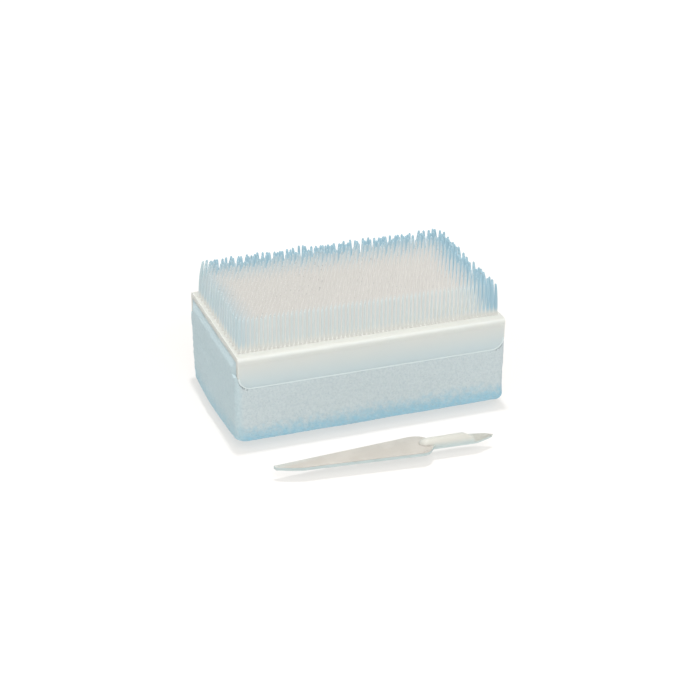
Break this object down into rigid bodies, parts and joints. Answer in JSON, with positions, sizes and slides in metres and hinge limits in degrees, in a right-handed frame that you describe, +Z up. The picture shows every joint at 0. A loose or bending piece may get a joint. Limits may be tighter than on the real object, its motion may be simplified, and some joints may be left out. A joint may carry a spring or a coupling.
{
  "type": "surgical scrub brush",
  "caption": "Hand scrub brush: a foam sponge block under a moulded plate that carries a dense field of fine bristles, with a separate nail pick.",
  "frame": {"origin": "centre of the sponge's flat underside, which the brush stands on", "axes": "+X along the brush's length, +Y towards its back, away from the nail pick, and +Z up towards the bristles' tips"},
  "size_m": [0.083, 0.0736, 0.0366],
  "materials": {
    "foam": "matte",
    "plate_plastic": "satin",
    "bristle_plastic": "satin",
    "adhesive": "satin",
    "pick_plastic": "satin"
  },
  "bodies": {
    "sponge": {"sponge": "foam"},
    "brush_head": {"brush_plate": "plate_plastic", "adhesive_film": "adhesive"},
    "bristle_row_01": {"bristle_row_01": "bristle_plastic"},
    "bristle_row_02": {"bristle_row_02": "bristle_plastic"},
    "bristle_row_03": {"bristle_row_03": "bristle_plastic"},
    "bristle_row_04": {"bristle_row_04": "bristle_plastic"},
    "bristle_row_05": {"bristle_row_05": "bristle_plastic"},
    "bristle_row_06": {"bristle_row_06": "bristle_plastic"},
    "bristle_row_07": {"bristle_row_07": "bristle_plastic"},
    "bristle_row_08": {"bristle_row_08": "bristle_plastic"},
    "bristle_row_09": {"bristle_row_09": "bristle_plastic"},
    "bristle_row_10": {"bristle_row_10": "bristle_plastic"},
    "bristle_row_11": {"bristle_row_11": "bristle_plastic"},
    "bristle_row_12": {"bristle_row_12": "bristle_plastic"},
    "bristle_row_13": {"bristle_row_13": "bristle_plastic"},
    "bristle_row_14": {"bristle_row_14": "bristle_plastic"},
    "bristle_row_15": {"bristle_row_15": "bristle_plastic"},
    "bristle_row_16": {"bristle_row_16": "bristle_plastic"},
    "bristle_row_17": {"bristle_row_17": "bristle_plastic"},
    "bristle_row_18": {"bristle_row_18": "bristle_plastic"},
    "bristle_row_19": {"bristle_row_19": "bristle_plastic"},
    "bristle_row_20": {"bristle_row_20": "bristle_plastic"},
    "bristle_row_21": {"bristle_row_21": "bristle_plastic"},
    "bristle_row_22": {"bristle_row_22": "bristle_plastic"},
    "bristle_row_23": {"bristle_row_23": "bristle_plastic"},
    "bristle_row_24": {"bristle_row_24": "bristle_plastic"},
    "bristle_row_25": {"bristle_row_25": "bristle_plastic"},
    "bristle_row_26": {"bristle_row_26": "bristle_plastic"},
    "bristle_row_27": {"bristle_row_27": "bristle_plastic"},
    "bristle_row_28": {"bristle_row_28": "bristle_plastic"},
    "bristle_row_29": {"bristle_row_29": "bristle_plastic"},
    "bristle_row_30": {"bristle_row_30": "bristle_plastic"},
    "bristle_row_31": {"bristle_row_31": "bristle_plastic"},
    "bristle_row_32": {"bristle_row_32": "bristle_plastic"},
    "nail_pick": {"nail_pick": "pick_plastic"}
  },
  "joints": [
    {"name": "sponge_press", "type": "slide", "parent": "sponge", "child": "brush_head", "axis": [0, 0, -1], "range_m": [0, 0.008], "stiffness_N_per_m": 1700, "deforming": ["sponge"]},
    {"name": "bristle_row_01_lean", "type": "hinge", "parent": "brush_head", "child": "bristle_row_01", "pos_m": [0, -0.0206, 0.0272], "axis": [1, 0, 0], "range_deg": [-15, 15], "stiffness_Nm_per_rad": 0.015},
    {"name": "bristle_row_02_lean", "type": "hinge", "parent": "brush_head", "child": "bristle_row_02", "pos_m": [0, -0.01927, 0.0272], "axis": [1, 0, 0], "range_deg": [-15, 15], "stiffness_Nm_per_rad": 0.015},
    {"name": "bristle_row_03_lean", "type": "hinge", "parent": "brush_head", "child": "bristle_row_03", "pos_m": [0, -0.01794, 0.0272], "axis": [1, 0, 0], "range_deg": [-15, 15], "stiffness_Nm_per_rad": 0.015},
    {"name": "bristle_row_04_lean", "type": "hinge", "parent": "brush_head", "child": "bristle_row_04", "pos_m": [0, -0.01661, 0.0272], "axis": [1, 0, 0], "range_deg": [-15, 15], "stiffness_Nm_per_rad": 0.015},
    {"name": "bristle_row_05_lean", "type": "hinge", "parent": "brush_head", "child": "bristle_row_05", "pos_m": [0, -0.01528, 0.0272], "axis": [1, 0, 0], "range_deg": [-15, 15], "stiffness_Nm_per_rad": 0.015},
    {"name": "bristle_row_06_lean", "type": "hinge", "parent": "brush_head", "child": "bristle_row_06", "pos_m": [0, -0.01395, 0.0272], "axis": [1, 0, 0], "range_deg": [-15, 15], "stiffness_Nm_per_rad": 0.015},
    {"name": "bristle_row_07_lean", "type": "hinge", "parent": "brush_head", "child": "bristle_row_07", "pos_m": [0, -0.01263, 0.0272], "axis": [1, 0, 0], "range_deg": [-15, 15], "stiffness_Nm_per_rad": 0.015},
    {"name": "bristle_row_08_lean", "type": "hinge", "parent": "brush_head", "child": "bristle_row_08", "pos_m": [0, -0.0113, 0.0272], "axis": [1, 0, 0], "range_deg": [-15, 15], "stiffness_Nm_per_rad": 0.015},
    {"name": "bristle_row_09_lean", "type": "hinge", "parent": "brush_head", "child": "bristle_row_09", "pos_m": [0, -0.00997, 0.0272], "axis": [1, 0, 0], "range_deg": [-15, 15], "stiffness_Nm_per_rad": 0.015},
    {"name": "bristle_row_10_lean", "type": "hinge", "parent": "brush_head", "child": "bristle_row_10", "pos_m": [0, -0.00864, 0.0272], "axis": [1, 0, 0], "range_deg": [-15, 15], "stiffness_Nm_per_rad": 0.015},
    {"name": "bristle_row_11_lean", "type": "hinge", "parent": "brush_head", "child": "bristle_row_11", "pos_m": [0, -0.00731, 0.0272], "axis": [1, 0, 0], "range_deg": [-15, 15], "stiffness_Nm_per_rad": 0.015},
    {"name": "bristle_row_12_lean", "type": "hinge", "parent": "brush_head", "child": "bristle_row_12", "pos_m": [0, -0.00598, 0.0272], "axis": [1, 0, 0], "range_deg": [-15, 15], "stiffness_Nm_per_rad": 0.015},
    {"name": "bristle_row_13_lean", "type": "hinge", "parent": "brush_head", "child": "bristle_row_13", "pos_m": [0, -0.00465, 0.0272], "axis": [1, 0, 0], "range_deg": [-15, 15], "stiffness_Nm_per_rad": 0.015},
    {"name": "bristle_row_14_lean", "type": "hinge", "parent": "brush_head", "child": "bristle_row_14", "pos_m": [0, -0.00332, 0.0272], "axis": [1, 0, 0], "range_deg": [-15, 15], "stiffness_Nm_per_rad": 0.015},
    {"name": "bristle_row_15_lean", "type": "hinge", "parent": "brush_head", "child": "bristle_row_15", "pos_m": [0, -0.00199, 0.0272], "axis": [1, 0, 0], "range_deg": [-15, 15], "stiffness_Nm_per_rad": 0.015},
    {"name": "bristle_row_16_lean", "type": "hinge", "parent": "brush_head", "child": "bristle_row_16", "pos_m": [0, -0.00066, 0.0272], "axis": [1, 0, 0], "range_deg": [-15, 15], "stiffness_Nm_per_rad": 0.015},
    {"name": "bristle_row_17_lean", "type": "hinge", "parent": "brush_head", "child": "bristle_row_17", "pos_m": [0, 0.00066, 0.0272], "axis": [1, 0, 0], "range_deg": [-15, 15], "stiffness_Nm_per_rad": 0.015},
    {"name": "bristle_row_18_lean", "type": "hinge", "parent": "brush_head", "child": "bristle_row_18", "pos_m": [0, 0.00199, 0.0272], "axis": [1, 0, 0], "range_deg": [-15, 15], "stiffness_Nm_per_rad": 0.015},
    {"name": "bristle_row_19_lean", "type": "hinge", "parent": "brush_head", "child": "bristle_row_19", "pos_m": [0, 0.00332, 0.0272], "axis": [1, 0, 0], "range_deg": [-15, 15], "stiffness_Nm_per_rad": 0.015},
    {"name": "bristle_row_20_lean", "type": "hinge", "parent": "brush_head", "child": "bristle_row_20", "pos_m": [0, 0.00465, 0.0272], "axis": [1, 0, 0], "range_deg": [-15, 15], "stiffness_Nm_per_rad": 0.015},
    {"name": "bristle_row_21_lean", "type": "hinge", "parent": "brush_head", "child": "bristle_row_21", "pos_m": [0, 0.00598, 0.0272], "axis": [1, 0, 0], "range_deg": [-15, 15], "stiffness_Nm_per_rad": 0.015},
    {"name": "bristle_row_22_lean", "type": "hinge", "parent": "brush_head", "child": "bristle_row_22", "pos_m": [0, 0.00731, 0.0272], "axis": [1, 0, 0], "range_deg": [-15, 15], "stiffness_Nm_per_rad": 0.015},
    {"name": "bristle_row_23_lean", "type": "hinge", "parent": "brush_head", "child": "bristle_row_23", "pos_m": [0, 0.00864, 0.0272], "axis": [1, 0, 0], "range_deg": [-15, 15], "stiffness_Nm_per_rad": 0.015},
    {"name": "bristle_row_24_lean", "type": "hinge", "parent": "brush_head", "child": "bristle_row_24", "pos_m": [0, 0.00997, 0.0272], "axis": [1, 0, 0], "range_deg": [-15, 15], "stiffness_Nm_per_rad": 0.015},
    {"name": "bristle_row_25_lean", "type": "hinge", "parent": "brush_head", "child": "bristle_row_25", "pos_m": [0, 0.0113, 0.0272], "axis": [1, 0, 0], "range_deg": [-15, 15], "stiffness_Nm_per_rad": 0.015},
    {"name": "bristle_row_26_lean", "type": "hinge", "parent": "brush_head", "child": "bristle_row_26", "pos_m": [0, 0.01263, 0.0272], "axis": [1, 0, 0], "range_deg": [-15, 15], "stiffness_Nm_per_rad": 0.015},
    {"name": "bristle_row_27_lean", "type": "hinge", "parent": "brush_head", "child": "bristle_row_27", "pos_m": [0, 0.01395, 0.0272], "axis": [1, 0, 0], "range_deg": [-15, 15], "stiffness_Nm_per_rad": 0.015},
    {"name": "bristle_row_28_lean", "type": "hinge", "parent": "brush_head", "child": "bristle_row_28", "pos_m": [0, 0.01528, 0.0272], "axis": [1, 0, 0], "range_deg": [-15, 15], "stiffness_Nm_per_rad": 0.015},
    {"name": "bristle_row_29_lean", "type": "hinge", "parent": "brush_head", "child": "bristle_row_29", "pos_m": [0, 0.01661, 0.0272], "axis": [1, 0, 0], "range_deg": [-15, 15], "stiffness_Nm_per_rad": 0.015},
    {"name": "bristle_row_30_lean", "type": "hinge", "parent": "brush_head", "child": "bristle_row_30", "pos_m": [0, 0.01794, 0.0272], "axis": [1, 0, 0], "range_deg": [-15, 15], "stiffness_Nm_per_rad": 0.015},
    {"name": "bristle_row_31_lean", "type": "hinge", "parent": "brush_head", "child": "bristle_row_31", "pos_m": [0, 0.01927, 0.0272], "axis": [1, 0, 0], "range_deg": [-15, 15], "stiffness_Nm_per_rad": 0.015},
    {"name": "bristle_row_32_lean", "type": "hinge", "parent": "brush_head", "child": "bristle_row_32", "pos_m": [0, 0.0206, 0.0272], "axis": [1, 0, 0], "range_deg": [-15, 15], "stiffness_Nm_per_rad": 0.015},
    {"name": "pick_lift", "type": "slide", "parent": "sponge", "child": "nail_pick", "axis": [0, 0, 1], "range_m": [0, 0.045]}
  ],
  "couplings": [
    {"joint": "bristle_row_01_lean", "follows": "bristle_row_16_lean", "ratio": 1},
    {"joint": "bristle_row_02_lean", "follows": "bristle_row_16_lean", "ratio": 1},
    {"joint": "bristle_row_03_lean", "follows": "bristle_row_16_lean", "ratio": 1},
    {"joint": "bristle_row_04_lean", "follows": "bristle_row_16_lean", "ratio": 1},
    {"joint": "bristle_row_05_lean", "follows": "bristle_row_16_lean", "ratio": 1},
    {"joint": "bristle_row_06_lean", "follows": "bristle_row_16_lean", "ratio": 1},
    {"joint": "bristle_row_07_lean", "follows": "bristle_row_16_lean", "ratio": 1},
    {"joint": "bristle_row_08_lean", "follows": "bristle_row_16_lean", "ratio": 1},
    {"joint": "bristle_row_09_lean", "follows": "bristle_row_16_lean", "ratio": 1},
    {"joint": "bristle_row_10_lean", "follows": "bristle_row_16_lean", "ratio": 1},
    {"joint": "bristle_row_11_lean", "follows": "bristle_row_16_lean", "ratio": 1},
    {"joint": "bristle_row_12_lean", "follows": "bristle_row_16_lean", "ratio": 1},
    {"joint": "bristle_row_13_lean", "follows": "bristle_row_16_lean", "ratio": 1},
    {"joint": "bristle_row_14_lean", "follows": "bristle_row_16_lean", "ratio": 1},
    {"joint": "bristle_row_15_lean", "follows": "bristle_row_16_lean", "ratio": 1},
    {"joint": "bristle_row_17_lean", "follows": "bristle_row_16_lean", "ratio": 1},
    {"joint": "bristle_row_18_lean", "follows": "bristle_row_16_lean", "ratio": 1},
    {"joint": "bristle_row_19_lean", "follows": "bristle_row_16_lean", "ratio": 1},
    {"joint": "bristle_row_20_lean", "follows": "bristle_row_16_lean", "ratio": 1},
    {"joint": "bristle_row_21_lean", "follows": "bristle_row_16_lean", "ratio": 1},
    {"joint": "bristle_row_22_lean", "follows": "bristle_row_16_lean", "ratio": 1},
    {"joint": "bristle_row_23_lean", "follows": "bristle_row_16_lean", "ratio": 1},
    {"joint": "bristle_row_24_lean", "follows": "bristle_row_16_lean", "ratio": 1},
    {"joint": "bristle_row_25_lean", "follows": "bristle_row_16_lean", "ratio": 1},
    {"joint": "bristle_row_26_lean", "follows": "bristle_row_16_lean", "ratio": 1},
    {"joint": "bristle_row_27_lean", "follows": "bristle_row_16_lean", "ratio": 1},
    {"joint": "bristle_row_28_lean", "follows": "bristle_row_16_lean", "ratio": 1},
    {"joint": "bristle_row_29_lean", "follows": "bristle_row_16_lean", "ratio": 1},
    {"joint": "bristle_row_30_lean", "follows": "bristle_row_16_lean", "ratio": 1},
    {"joint": "bristle_row_31_lean", "follows": "bristle_row_16_lean", "ratio": 1},
    {"joint": "bristle_row_32_lean", "follows": "bristle_row_16_lean", "ratio": 1}
  ]
}
